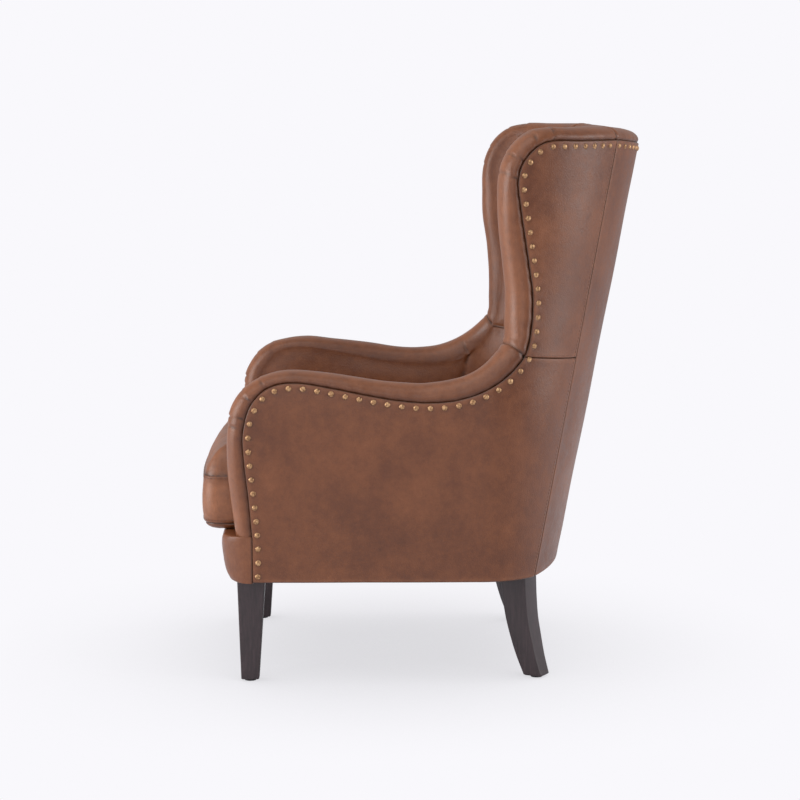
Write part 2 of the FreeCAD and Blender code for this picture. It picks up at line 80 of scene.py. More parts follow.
# Shape of the upholstered wall, in metres: straight sides, rounded rear corners and a bowed back.
# t counts inward from the outside face, so the same functions give the leather inside and out.
def hermite(knots, values, at):
    knots = np.asarray(knots, float)
    values = np.asarray(values, float).reshape(len(knots), -1)
    gap = np.diff(knots)[:, None]
    slope = np.diff(values, axis=0) / gap
    middle = (slope[:-1] * gap[1:] + slope[1:] * gap[:-1]) / (gap[1:] + gap[:-1])
    tangent = np.vstack([slope[:1], middle, slope[-1:]])
    at = np.clip(np.asarray(at, float).ravel(), knots[0], knots[-1])
    i = np.clip(np.searchsorted(knots, at, side="right") - 1, 0, len(knots) - 2)
    h = gap[i]
    u = ((at - knots[i])[:, None]) / h
    return ((1 + 2 * u) * (1 - u) ** 2 * values[i] + u * (1 - u) ** 2 * h * tangent[i]
            + u * u * (3 - 2 * u) * values[i + 1] + u * u * (u - 1) * h * tangent[i + 1])


def seam_half(z):
    # half the width between the rear corners, where the side meets the back
    return .287 - .11 * (z - .2)


def plan(z):
    z = np.asarray(z, float)
    side = hermite(SIDE_AT_Z, SIDE_HALF, z).reshape(z.shape)
    back = .266 + .192 * (z - .2)
    seam_x = seam_half(z)
    run = side - seam_x
    rise = back - BOW - STRAIGHT_Y
    r1 = (run ** 2 + rise ** 2) / (2 * run)
    r2 = (seam_x ** 2 + BOW ** 2) / (2 * BOW)
    return side, r1, side - r1, r2, back - r2


def seam_angles(z, t):
    side, r1, c1x, r2, c2y = plan(z)
    gx, gy = -c1x, c2y - STRAIGHT_Y
    first = np.arctan2(c2y + r2 - BOW - STRAIGHT_Y, seam_half(z) - c1x)
    a, b, d = r1 - t, r2 - t, np.hypot(gx, gy)
    swing = np.arccos(np.clip((a * a + d * d - b * b) / (2 * a * d), -1, 1))
    turn = np.arctan2(gy, gx)
    one = np.angle(np.exp(1j * (turn + swing - first)))
    two = np.angle(np.exp(1j * (turn - swing - first)))
    a1 = first + np.where(np.abs(one) < np.abs(two), one, two)
    return a1, np.arctan2(STRAIGHT_Y + a * np.sin(a1) - c2y, c1x + a * np.cos(a1))


def side_at(y, z, t=0.0):
    # point and outward direction on the right side
    side, r1, c1x, r2, c2y = plan(z)
    y = np.asarray(y, float)
    d = np.clip((y - STRAIGHT_Y) / (r1 - t), 0, .999)
    n = np.stack([np.sqrt(1 - d * d), d, 0 * d], -1)
    x = c1x + (r1 - t) * n[..., 0]
    return np.stack([x, y, z + 0 * y], -1), n


def back_at(s, z, t=0.0):
    # point and outward direction on the back, s from 0 at the right seam to 2 at the left one
    side, r1, c1x, r2, c2y = plan(z)
    b = seam_angles(z, t)[1]
    a = b + (math.pi / 2 - b) * s
    n = np.stack([np.cos(a), np.sin(a), 0 * a], -1)
    return np.stack([(r2 - t) * n[..., 0], c2y + (r2 - t) * n[..., 1], z + 0 * a], -1), n


def back_facing(x, z, t=0.0):
    # point and outward direction on the back at a distance x from the middle
    side, r1, c1x, r2, c2y = plan(z)
    d = x / (r2 - t)
    n = np.stack([d, np.sqrt(1 - d * d), 0 * d], -1)
    return np.stack([x, c2y + (r2 - t) * n[..., 1], z + 0 * x], -1), n


def dents(p, size, seed, depth=1.0):
    # soft unevenness of stretched leather, the same on every run
    rng = np.random.default_rng(seed)
    out = np.zeros(p.shape[:-1])
    for i in range(9):
        k = rng.normal(size=3)
        k *= 2 * math.pi / (size * rng.uniform(.7, 1.8) * np.linalg.norm(k))
        out += np.sin(p @ k + rng.uniform(0, 6.28))
    return out * depth / 4


def along(p):
    return np.concatenate([[0], np.cumsum(np.linalg.norm(np.diff(p, axis=0), axis=1))])


# Materials. Small functions add the shader nodes with their settings and links.
def linear(code):
    c = [int(code[i:i + 2], 16) / 255 for i in (1, 3, 5)]
    return [v / 12.92 if v <= .04045 else ((v + .055) / 1.055) ** 2.4 for v in c] + [1]


def new_material(name):
    mat = bpy.data.materials.new(name)
    mat.use_nodes = True
    tree = mat.node_tree
    return mat, tree, tree.nodes["Principled BSDF"]


def add(tree, kind, links=None, ramp=None, **settings):
    n = tree.nodes.new(kind)
    for k, v in settings.items():
        setattr(n, k, v)
    for k, v in (links or {}).items():
        if isinstance(v, bpy.types.NodeSocket):
            tree.links.new(v, n.inputs[k])
        else:
            n.inputs[k].default_value = v
    if ramp:
        e = n.color_ramp.elements
        while len(e) < len(ramp):
            e.new(.5)
        for item, (at, colour) in zip(e, ramp):
            item.position = at
            item.color = linear(colour)
    return n


def place(tree):
    # the place on the chair, in metres, that every texture is laid out by
    return add(tree, "ShaderNodeTexCoord").outputs["Object"]


def noise(tree, scale, detail=2.0, roughness=.5, distortion=0.0, at=None, output="Fac"):
    links = {"Vector": at or place(tree), "Scale": scale, "Detail": detail, "Roughness": roughness,
             "Distortion": distortion}
    return add(tree, "ShaderNodeTexNoise", links).outputs[output]


def dyed(tree, value, *stops):
    return add(tree, "ShaderNodeValToRGB", {"Fac": value}, ramp=stops).outputs["Color"]


def ranged(tree, value, least, most, low=0.0, high=1.0):
    links = {"Value": value, "From Min": low, "From Max": high, "To Min": least, "To Max": most}
    return add(tree, "ShaderNodeMapRange", links).outputs[0]


def raised(tree, height, strength, distance):
    links = {"Height": height, "Strength": strength, "Distance": distance}
    return add(tree, "ShaderNodeBump", links).outputs["Normal"]


def mixed(tree, share, a, b):
    return add(tree, "ShaderNodeMix", {0: share, 2: a, 3: b}).outputs[0]


def tinted(tree, share, a, colour):
    return add(tree, "ShaderNodeMix", {0: share, 6: a, 7: linear(colour)}, data_type="RGBA").outputs[2]


def math_node(tree, kind, a, b):
    return add(tree, "ShaderNodeMath", {0: a, 1: b}, operation=kind).outputs[0]


def finish_with(tree, shader, **sockets):
    # links or values for the shader's own sockets, named with _ for a space
    for word, value in sockets.items():
        socket = shader.inputs[word.replace("_", " ")]
        if isinstance(value, bpy.types.NodeSocket):
            tree.links.new(value, socket)
        else:
            socket.default_value = value


# Brown waxed leather: cloudy colour a hand wide, pores and fine grain about a millimetre across,
# faint stretch wrinkles; painted shade darkens it in creases, seams and folds, and it is paler on ridges and
# edges, part rub wear and part painted highlight
leather, t, shader = new_material("brown waxed leather")
patchy = noise(t, 55.0, 5.0, .7)
speck = noise(t, 420.0, 3.0, .6)
clouds = mixed(t, .38, noise(t, 7.5, 6.0, .62), patchy)
clouds = mixed(t, .16, clouds, speck)
hide = dyed(t, clouds, (.30, "#4a2512"), (.46, "#5e331a"), (.56, "#6a3c20"), (.72, "#7c4a2d"))
crease_shade = add(t, "ShaderNodeAttribute", attribute_name="crease_shade").outputs["Fac"]
wear_and_highlight = add(t, "ShaderNodeAttribute", attribute_name="wear_and_highlight").outputs["Fac"]
# painted shade: the colour is pulled towards near black in creases, seams, folds and round the nails
hide = tinted(t, crease_shade, hide, "#22120b")
# paler tint in patches on ridges and edges, part rub wear and part painted highlight
hide = tinted(t, math_node(t, "MULTIPLY", wear_and_highlight, patchy), hide, "#8f5c3e")
pores = {"Vector": place(t), "Scale": 620.0, "Randomness": 1.0}
pores = add(t, "ShaderNodeTexVoronoi", pores, feature="SMOOTH_F1").outputs["Distance"]
warp = noise(t, 40.0, 3.0, output="Color")
warp = add(t, "ShaderNodeVectorMath", {0: warp, "Scale": .03}, operation="SCALE").outputs[0]
warp = add(t, "ShaderNodeVectorMath", {0: place(t), 1: warp}, operation="ADD").outputs[0]
lines = {"Vector": warp, "Scale": 105.0}
lines = add(t, "ShaderNodeTexVoronoi", lines, feature="DISTANCE_TO_EDGE").outputs["Distance"]
lines = math_node(t, "MULTIPLY", ranged(t, lines, 0.0, 1.0, high=.12), .35)
grain = math_node(t, "ADD", speck, math_node(t, "ADD", pores, lines))
finish_with(t, shader, Base_Color=hide, Roughness=ranged(t, patchy, .33, .47, .3, .7),
            Normal=raised(t, grain, .32, .0006), Specular_IOR_Level=.42)

# Thread: waxed brown stitches a shade darker than the leather
thread, t, shader = new_material("waxed brown thread")
ply = {"Vector": place(t), "Scale": 900.0, "Distortion": 2.0}
ply = add(t, "ShaderNodeTexWave", ply).outputs["Fac"]
finish_with(t, shader, Base_Color=linear("#4a2f23"), Roughness=.55, Normal=raised(t, ply, .4, .0002))

# Antique brass nail heads: patches of brown and rubbed bright brass, spread at random
brass, t, shader = new_material("antique brass")
age = noise(t, 260.0, 5.0)
finish_with(t, shader, Base_Color=dyed(t, age, (.35, "#7a5a40"), (.55, "#a8835f"), (.72, "#c9a780")),
            Roughness=ranged(t, age, .36, .55), Normal=raised(t, age, .25, .0005), Metallic=.85)

# Legs: close-grained hardwood stained espresso, satin lacquer
wood, t, shader = new_material("espresso stained wood")
upright = add(t, "ShaderNodeMapping", {"Vector": place(t), "Scale": (26.0, 26.0, 2.2)}).outputs[0]
grain = noise(t, 9.0, 8.0, .65, .6, at=upright)
finish_with(t, shader, Base_Color=dyed(t, grain, (.30, "#1c1214"), (.52, "#2a1d20"), (.75, "#3a2b2e")),
            Roughness=ranged(t, grain, .34, .50), Normal=raised(t, grain, .12, .0006))

# Black non-woven cloth under the seat and on the platform
cloth, t, shader = new_material("black non-woven cloth")
fuzz = noise(t, 700.0, 4.0)
finish_with(t, shader, Base_Color=dyed(t, fuzz, (.35, "#161516"), (.7, "#2c2a2b")), Roughness=.92,
            Normal=raised(t, fuzz, .5, .0004))

# Frame timber, foam, straps, steel and glides, mostly hidden
timber, t, shader = new_material("sawn frame timber")
rings = noise(t, 45.0, 6.0, distortion=1.5)
finish_with(t, shader, Base_Color=dyed(t, rings, (.35, "#a5825a"), (.65, "#c3a47a")), Roughness=.7)
foam, t, shader = new_material("cream foam")
bubbles = add(t, "ShaderNodeTexVoronoi", {"Vector": place(t), "Scale": 500.0}).outputs["Distance"]
finish_with(t, shader, Base_Color=dyed(t, bubbles, (.1, "#b9ab8c"), (.6, "#e0d5ba")), Roughness=.9)
strap, t, shader = new_material("woven elastic strap")
ribs = add(t, "ShaderNodeTexWave", {"Vector": place(t), "Scale": 160.0}).outputs["Fac"]
finish_with(t, shader, Base_Color=dyed(t, ribs, (.2, "#3b3127"), (.8, "#5f5140")), Roughness=.85)
steel, t, shader = new_material("zinc plated steel")
finish_with(t, shader, Base_Color=linear("#b9b9b6"), Metallic=1.0,
            Roughness=ranged(t, noise(t, 120.0), .3, .5))
plastic, t, shader = new_material("black glide plastic")
finish_with(t, shader, Base_Color=linear("#1d1b1c"), Roughness=ranged(t, noise(t, 300.0), .45, .7))

for name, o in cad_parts.items():
    for words, mat in (("pad core", foam), ("webbing", strap), ("deck_cover dust", cloth), ("bolts", steel),
                       ("glides", plastic), ("rail board post block tie", timber), ("leg_", wood)):
        if any(w in name for w in words.split()) and not (mat is timber and "front_rail" in name):
            o.data.materials.clear()
            o.data.materials.append(mat)
            break


# Plain mesh code. A net is points with their outward directions, faces, and two numbers that the
# leather reads: how much painted shade a point gets in a crease or seam, and how much rub wear and painted
# highlight it gets
def even(line, step):
    # points at equal distances along a line
    d = along(line)
    at = np.linspace(0, d[-1], max(2, round(d[-1] / step) + 1))
    return np.stack([np.interp(at, d, line[:, k]) for k in range(line.shape[1])], 1)


def gap(points, line):
    # distance of each point from a line, and how far along the line the nearest place is
    line = even(np.asarray(line, float), GAP_STEP)
    tree = KDTree(len(line))
    for i, p in enumerate(line):
        tree.insert(p, i)
    tree.balance()
    found = [tree.find(p) for p in points]
    return np.array([f[2] for f in found]), np.array([f[1] for f in found]) * GAP_STEP


def closed(loop):
    return np.vstack([loop, loop[:1]])


def net(points, out, faces, crease_shade=0.0, wear_and_highlight=0.0):
    marks = [np.broadcast_to(v, points.shape[:-1]).ravel() for v in (crease_shade, wear_and_highlight)]
    points, out = points.reshape(-1, 3), out.reshape(-1, 3)
    corners = np.array([f[:3] for f in faces])
    a, b, c = points[corners[:, 0]], points[corners[:, 1]], points[corners[:, 2]]
    if np.sum(np.cross(b - a, c - b) * out[corners[:, 0]]) < 0:
        faces = [f[::-1] for f in faces]
    return points, faces, marks[0], marks[1]


def rows_of_faces(n, m, wrap=False):
    out = []
    for i in range(n if wrap else n - 1):
        k = (i + 1) % n
        out += [(i * m + j, k * m + j, k * m + j + 1, i * m + j + 1) for j in range(m - 1)]
    return out


def skin(name, nets, material, mirror=False):
    # one mesh from several nets, welded where they share an edge
    verts = np.vstack([n[0] for n in nets])
    faces = []
    base = 0
    for n in nets:
        faces += [tuple(base + v for v in (f[::-1] if mirror else f)) for f in n[1]]
        base += len(n[0])
    if mirror:
        verts = verts * MIRROR
    name = name.replace(" ", "_")
    mesh = bpy.data.meshes.new(name)
    mesh.from_pydata(verts.tolist(), [], faces)
    for k, word in ((2, "crease_shade"), (3, "wear_and_highlight")):
        a = mesh.attributes.new(word, "FLOAT", "POINT")
        a.data.foreach_set("value", np.concatenate([n[k] for n in nets]))
    b = bmesh.new()
    b.from_mesh(mesh)
    bmesh.ops.remove_doubles(b, verts=b.verts, dist=WELD)
    for f in b.faces:
        f.smooth = True
    b.to_mesh(mesh)
    b.free()
    mesh.materials.append(material)
    o = bpy.data.objects.new(name, mesh)
    bpy.context.collection.objects.link(o)
    return o


def fill(loop, axes, step=.0065, rings=(.0006, .0013, .0021, .003, .0042, .006, .009, .013)):
    # triangles inside a closed loop seen flat: rings just inside its edge, then a staggered net
    flat = loop[:, axes]
    run = np.roll(flat, -1, 0) - np.roll(flat, 1, 0)
    inward = np.stack([-run[:, 1], run[:, 0]], 1) / np.linalg.norm(run, axis=1)[:, None]
    inward *= np.sign(np.sum(flat[:, 0] * np.roll(flat[:, 1], -1) - flat[:, 1] * np.roll(flat[:, 0], -1)))
    low, high = flat.min(0), flat.max(0)
    x, y = np.meshgrid(np.arange(low[0], high[0], step), np.arange(low[1], high[1], step * .87))
    x = x + (np.arange(len(x)) % 2)[:, None] * step / 2
    clouds = [(flat + d * inward, .8 * d) for d in rings]
    clouds.append((np.stack([x.ravel(), y.ravel()], 1), rings[-1] + .5 * step))
    points = [flat]
    edge = closed(flat)
    for cloud, least in clouds:
        a, b = edge[:-1], edge[1:]
        crossed = (a[:, 1] > cloud[:, 1:]) != (b[:, 1] > cloud[:, 1:])
        tall = np.where(b[:, 1] == a[:, 1], 1, b[:, 1] - a[:, 1])
        at = a[:, 0] + (cloud[:, 1:] - a[:, 1]) * (b[:, 0] - a[:, 0]) / tall
        inside = np.sum(crossed & (cloud[:, :1] < at), 1) % 2 == 1
        cloud = cloud[inside]
        away = gap(np.pad(cloud, ((0, 0), (0, 1))), np.pad(edge, ((0, 0), (0, 1))))[0]
        points.append(cloud[away > least])
    points = np.vstack(points)
    made = delaunay_2d_cdt([Vector(p) for p in points], [], [list(range(len(flat)))], 1, 1e-7)
    faces = [tuple(made[3][v][0] for v in f) for f in made[2]]
    return points, faces


def nail_spots(node):
    # centres of the nail heads of one CAD node
    left = np.array([v.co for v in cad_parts[node].data.vertices])
    spots = []
    while len(left):
        near = np.linalg.norm(left - left[0], axis=1) < .5 * NAIL_PITCH
        spots.append((left[near].min(0) + left[near].max(0)) / 2)
        left = left[~near]
    return np.array(spots)


# Side view of the padded roll: ridge (y, z) and edge of the outside panel (y, z), station by station
arm = np.array([(-357, 286, -327, 286), (-366, 360, -333, 360), (-371, 430, -341, 435),
                (-370, 490, -342, 485), (-362, 532, -333, 524), (-344, 560, -321, 546),
                (-319, 580, -303, 564), (-280, 593, -274, 576),
                (-241, 597, -241, 578), (-181, 591, -182, 569), (-110, 581, -112, 555), (-50, 574, -52, 545),
                (0, 573, 4, 541), (40, 577, 52, 545), (75, 589, 94, 557), (106, 608, 132, 577),
                (130, 629, 160, 600), (146, 646, 180, 624)]) / 1000
wing = np.array([(150, 690, 194, 680), (150, 735, 196, 735), (144, 790, 189, 790), (133, 900, 172, 900),
                 (135, 950, 167, 945), (143, 985, 172, 973), (160, 1014, 184, 993), (188, 1036, 203, 1011),
                 (226, 1045, 230, 1021)]) / 1000


def station(row):
    # edge point, ridge point and outward direction, with the ridge square over the wall's middle
    edge, n = side_at(row[2], row[3])
    top = side_at(row[0], row[1], WALL / 2)[0]
    mid = edge - WALL / 2 * n
    return np.concatenate([edge, top - n * np.dot(top - mid, n), n])


rows = [station(r) for r in np.vstack([arm, wing])]
z = np.array(EDGE_Z)
side, r1, c1x, r2, c2y = [float(v) for v in plan(z)]
a0 = math.atan2(rows[-1][1] - STRAIGHT_Y, rows[-1][0] - c1x)
a1 = float(seam_angles(z, 0.0)[0])
for share in (.35, .7, 1.0):
    a = a0 + (a1 - a0) * share
    n = np.array([math.cos(a), math.sin(a), 0])
    edge = np.array([c1x, STRAIGHT_Y, EDGE_Z]) + r1 * n
    rows.append(np.concatenate([edge, edge - WALL / 2 * n + (0, 0, ROLL_RISE), n]))
for s in (.25, .5, .75, 1.0):
    edge, n = back_at(np.array(s), np.array(EDGE_Z - EDGE_SAG * s))
    rows.append(np.concatenate([edge, edge - WALL / 2 * n + (0, 0, ROLL_RISE), n]))
rows = np.array(rows)
n_arm, n_wing = len(arm), len(arm) + len(wing) + 3
knots = along(rows[:, 3:6])
root, rear, end = knots[n_arm - 1], knots[n_wing - 1], knots[-1]


def roll_rows(at):
    f = hermite(knots, rows, at)
    f[:, 6:9] /= np.linalg.norm(f[:, 6:9], axis=1)[:, None]
    return f


def at_edge(y, z):
    # distance along the roll of the point of the panel edge nearest to (y, z)
    s = np.linspace(0, end, 2000)
    f = roll_rows(s)
    return s[np.argmin(np.hypot(f[:, 1] - y, f[:, 2] - z))]


# Pleats where the leather is gathered round the arm's front and the wing's top corner, (y, z)
pleats = [at_edge(*p) for p in ((-.342, .489), (-.336, .512), (-.325, .543), (-.296, .569),
                                (.167, .952), (.176, .985), (.201, 1.010), (.233, 1.022))]
inner_join = at_edge(.106, .563)


# Padded roll: foam under leather that is pulled over the arm and wing from the inside and tucked
# under the edge of the outside panel; gathered in pleats at the corners, seamed at the wing root
def roll(f, s, seed):
    # net of the roll over the given rows, and its inner rim on the wall's inside face
    edge, top, n = f[:, :3], f[:, 3:6], f[:, 6:9]
    mid = edge - WALL / 2 * n
    up = top - mid
    turn = np.linspace(0, math.pi, 34)
    c, w = np.cos(turn)[None, :, None], np.sin(turn)[None, :, None]
    out = mid[:, None] + WALL / 2 * np.sign(c) * np.abs(c) ** .86 * n[:, None] + up[:, None] * w ** .92
    face = WALL / 2 * c * n[:, None] + up[:, None] * w
    face /= np.linalg.norm(face, axis=2)[..., None]
    s, turn = s[:, None], turn[None]
    crest = np.clip(turn / .5, 0, 1) * np.clip((math.pi - turn) / .5, 0, 1)
    inside = np.clip((math.pi - turn) / .2, 0, 1)
    pulls = np.cos(2 * math.pi * s / NAIL_PITCH) * np.exp(-(turn / .45) ** 2)
    press = crest * (.0012 * dents(out, .10, seed) + .0018 * np.sin(turn)) - .0005 * pulls
    press = press - .0034 * np.exp(-(turn / .15) ** 2)
    # painted shade along the roll's tuck under the panel edge, then in the pleats, the seams at the wing root
    # and the inner joint
    fold_shade = .6 * np.exp(-(turn / .13) ** 2) + 0 * s
    reach = np.clip((2.5 - turn) / .9, 0, 1) * np.clip(.4 + turn / .35, 0, 1)
    for k, at in enumerate(pleats):
        off = s - at - .005 * np.sin(turn) * (-1) ** k
        lap = np.exp(-np.clip(off, 0, 1) / .009) * (off > 0)
        press = press - reach * (.0026 * np.exp(-(off / .0016) ** 2) - .0015 * lap)
        fold_shade = np.maximum(fold_shade, .85 * reach * np.exp(-(off / .0014) ** 2))
    for at in (root, rear):
        off = np.abs(s - at)
        groove = .0028 * np.exp(-(off / .0026) ** 2)
        lips = .0009 * np.exp(-((off - .007) / .004) ** 2)
        press = press - inside * (groove - lips)
        fold_shade = np.maximum(fold_shade, .9 * inside * np.exp(-(off / .0017) ** 2))
    joint = np.exp(-((s - inner_join) / .0028) ** 2) * np.clip((turn - 2) / .3, 0, 1) * inside
    press = press - .0022 * joint
    out = out + press[..., None] * face
    lift = up / np.linalg.norm(up, axis=1)[:, None]
    under = [out[:, 0] - a * n - b * lift for a, b in ((.008, .009), (.005, .005))]
    out = np.concatenate([np.stack(under, 1), out], 1)
    face = np.concatenate([face[:, :1], face[:, :1], face], 1)
    fold_shade = np.concatenate([fold_shade[:, :1], fold_shade[:, :1], np.maximum(fold_shade, .7 * joint)], 1)
    # paler over the roll's crest: part rub wear, part painted highlight
    rub_and_highlight = np.clip(np.sin(np.pad(turn[0], (2, 0))), 0, 1) ** 2 + 0 * s
    faces = rows_of_faces(*out.shape[:2])
    return net(out, face, faces, fold_shade, rub_and_highlight), out[:, -1]


def mirrored(rows):
    return rows * np.tile(MIRROR, 3)


# Lines where the leathers meet, as points in space
def seam_from(z0, z1, t=0.0):
    z = np.linspace(z0, z1, 60)
    return back_at(0 * z, z, t)[0]


def inner_seam(z0, z1, led_from=.9):
    # the seam between the inside back and the side, led to the roll's inner rim at the top
    line = seam_from(z0, z1, WALL)
    corner = roll_rows([rear])[0]
    corner = corner[:3] - WALL * corner[6:9]
    off = corner - seam_from(EDGE_Z, EDGE_Z, WALL)[0]
    return line + np.clip((line[:, 2:] - led_from) / (EDGE_Z - led_from), 0, 1) ** 2 * off


def across_side(y0, z0, y1, z1, t=0.0):
    share = np.linspace(0, 1, 60)
    return side_at(y0 + (y1 - y0) * share, z0 + (z1 - z0) * share, t)[0]


def chain(*lines):
    # lines joined end to end into a loop of evenly spaced points
    return np.vstack([(line if keep else even(line, EDGE_STEP))[:-1] for line, keep in lines])


# Outside panels: leather with its edge folded under, tacked along the front and top with nails,
# slightly full in the middle
def panel(loop, axes, facing, seed, nails):
    flat, faces = fill(loop, axes)
    p, n = facing(flat[:, 0], flat[:, 1])
    p[:len(loop)] = loop
    d = gap(p, closed(loop))[0]
    near = np.min(np.linalg.norm(p[:, None] - nails[None], axis=2), axis=1)
    bend = 1 - np.clip(d / FOLD_R, 0, 1)
    high = -FOLD_R * (1 - np.sqrt(1 - bend ** 2)) + PROUD * np.exp(-(d / .016) ** 2)
    high += np.clip(d / .07, 0, 1) * (.0015 + .0011 * dents(p, .17, seed))
    high -= NAIL_DENT * np.exp(-(near / .0065) ** 2)
    # painted shade along the folded-under edge and round each nail dent
    crease_shade = np.maximum(.85 * np.exp(-(d / .0016) ** 2), .35 * np.exp(-(near / .0068) ** 2))
    # a paler band just inside the folded edge, part rub wear and part painted highlight
    return net(p + high[:, None] * n, n, faces, crease_shade, .35 * np.exp(-((d - .004) / .004) ** 2))


# Inside leathers: softly padded between their seams, where they sink in; flat against the cushion
def lining(loop, axes, facing, seed, seams):
    flat, faces = fill(loop, axes, step=.0075)
    p, n = facing(flat[:, 0], flat[:, 1], WALL)
    p[:len(loop)] = loop
    d = gap(p, closed(loop))[0]
    full = (1 - np.exp(-(d / .022) ** 2)) * np.clip((p[:, 2] - .42) / .1, 0, 1)
    high = full * (PUFF + .0016 * dents(p, .15, seed))
    crease_shade = 0 * d
    for line in seams:
        off = gap(p, line)[0]
        high -= np.clip(d / .004, 0, 1) * .0022 * np.exp(-(off / .0035) ** 2)
        # painted shade along each seam that the leather sinks into
        crease_shade = np.maximum(crease_shade, .75 * np.exp(-(off / .0022) ** 2))
    # a faint even paler tint, part rub wear and part painted highlight
    return net(p - high[:, None] * n, -n, faces, crease_shade, .15)


def finished(o, body, finish, *nodes):
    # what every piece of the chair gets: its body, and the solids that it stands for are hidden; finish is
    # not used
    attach(o, body)
    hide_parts(*nodes)


s_arm = np.linspace(0, root, round(root / ROLL_STEP))
s_wing = np.linspace(root, rear, round((rear - root) / ROLL_STEP))
s_top = np.linspace(rear, end, round((end - rear) / ROLL_STEP))
top_rows = roll_rows(s_top)
top_rows = np.vstack([top_rows, mirrored(top_rows)[::-1][1:]])
s_top = np.concatenate([s_top, s_top[::-1][1:]])
level_seam_end = seam_from(LEVEL_Z, LEVEL_Z)[0]
level_seam = across_side(*LEVEL_FRONT, level_seam_end[1], LEVEL_Z)
arm_edge = roll_rows(s_arm)[:, :3]
wing_edge = roll_rows(s_wing)[:, :3]
front_edge = across_side(arm_edge[0][1], BODY_LOW, arm_edge[0][1], arm_edge[0][2])
low_seam = seam_from(LEVEL_Z, BODY_LOW)
arm_bottom = across_side(low_seam[-1][1], BODY_LOW, arm_edge[0][1], BODY_LOW)
high_seam = seam_from(EDGE_Z, LEVEL_Z)
inner_fold = across_side(.104, .562, .070, .450, WALL)

# Leather of the arms, wings and outside panels, one side after the other
for side, seed in (("right", 3), ("left", 40)):
    flip = side == "left"
    arm_net, arm_rim = roll(roll_rows(s_arm), s_arm, seed)
    wing_net, wing_rim = roll(roll_rows(s_wing), s_wing, seed)
    meeting = inner_seam(LEVEL_Z, LEVEL_Z)[0]
    root_line = across_side(arm_rim[-1][1], arm_rim[-1][2], meeting[1], LEVEL_Z, WALL)
    back_line = inner_seam(LEVEL_Z, SEAT_Z)
    foot = across_side(back_line[-1][1], SEAT_Z, arm_rim[0][1], SEAT_Z, WALL)
    loop = chain((arm_rim, True), (root_line, False), (back_line, False), (foot, False))
    inside = lining(loop, [1, 2], side_at, seed + 1, (root_line, back_line, inner_fold))
    piece = skin("arm leather " + side, [arm_net, inside], leather, flip)
    hidden = [node + side for node in ("arm_roll_", "inside_arm_cover_", "arm_pad_")]
    finished(piece, "chair", "brown_leather", *hidden)
    back_line = inner_seam(EDGE_Z, LEVEL_Z)
    loop = chain((wing_rim, True), (back_line, False), (root_line[::-1], False))
    inside = lining(loop, [1, 2], side_at, seed + 2, (root_line, back_line))
    piece = skin("wing leather " + side, [wing_net, inside], leather, flip)
    hidden = [node + side for node in ("wing_roll_", "inside_wing_cover_", "wing_pad_")]
    finished(piece, "chair", "brown_leather", *hidden)
    spots = nail_spots("nail_heads_right")
    lines = (front_edge, arm_edge, level_seam, low_seam, arm_bottom)
    outside = panel(chain(*[(line, False) for line in lines]), [1, 2], side_at, seed + 3, spots)
    piece = skin("outside arm panel " + side, [outside], leather, flip)
    finished(piece, "chair", "brown_leather", "outside_arm_panel_" + side)
    loop = chain((wing_edge, False), (high_seam, False), (level_seam[::-1], False))
    outside = panel(loop, [1, 2], side_at, seed + 4, spots)
    piece = skin("outside wing panel " + side, [outside], leather, flip)
    finished(piece, "chair", "brown_leather", "outside_wing_panel_" + side)

# Leather of the inside back with the roll along its top, and the outside back panel
top_net, top_rim = roll(top_rows, s_top, 7)
s = np.linspace(2, 0, 160)
inner_foot = back_at(s, SEAT_Z + 0 * s, WALL)[0]
right_line = inner_seam(SEAT_Z, EDGE_Z)
left_line = (right_line * MIRROR)[::-1]
loop = chain((top_rim, True), (left_line, False), (inner_foot, False), (right_line, False))
inside = lining(loop, [0, 2], back_facing, 8, (left_line, right_line))
piece = skin("back leather", [top_net, inside], leather)
finished(piece, "chair", "brown_leather", "back_top_roll", "inside_back_cover", "back_pad")
right_line = seam_from(BODY_LOW, EDGE_Z)
bottom = back_at(s, BODY_LOW + 0 * s)[0]
lines = (right_line, top_rows[:, :3], (right_line * MIRROR)[::-1], bottom)
loop = chain(*[(line, False) for line in lines])
outside = panel(loop, [0, 2], back_facing, 9, nail_spots("nail_heads_back"))
piece = skin("outside back panel", [outside], leather)
finished(piece, "chair", "brown_leather", "outside_back_panel")


# Front rail: leather over thin foam, wrapped round the corners to the arm panels and over the top,
# where it runs back under the cushion; gently pinched in at the bottom edge
side_y = arm_edge[0][1]

# Height and recess of the rail's leather, from its turned-under bottom to the strip below the cushion
levels = np.array([(.1990, .040), (.1992, .022), (.2015, .0165), (.207, .0125), (.215, .008),
                   (.230, .004), (.245, .002), (.260, .0002), (.272, 0), (.281, .0014),
                   (.2858, .005), (.2872, .011), (.2873, .04)])
levels = even(hermite(along(levels), levels, np.linspace(0, along(levels)[-1], 400)), .0025)


def rail_ring(z, recess):
    side = float(plan(z)[0])
    r = RAIL_CORNER - recess
    turn = np.linspace(0, math.pi / 2, 24)
    bend = np.stack([side - r + r * np.cos(turn), side_y - r * np.sin(turn)], 1)
    start = np.array([(side - FOLD_R - .006, side_y + .003), (side - FOLD_R, side_y + .001),
                      (side - .001, side_y - .0004)])
    half = np.vstack([start, even(np.vstack([bend, (0, side_y - r)]), .004)])
    ring = np.vstack([half, (half * (-1, 1))[::-1][1:]])
    return np.pad(ring, ((0, 0), (0, 1)), constant_values=z)


rings = [rail_ring(z, recess) for z, recess in levels]
rings = np.stack([hermite(along(r), r, np.linspace(0, along(r)[-1], 330)) for r in rings], 1)
out = rings - (0, side_y, .245)
out[..., 0] *= (np.abs(rings[..., 0]) > .3)
out /= np.linalg.norm(out, axis=2)[..., None]
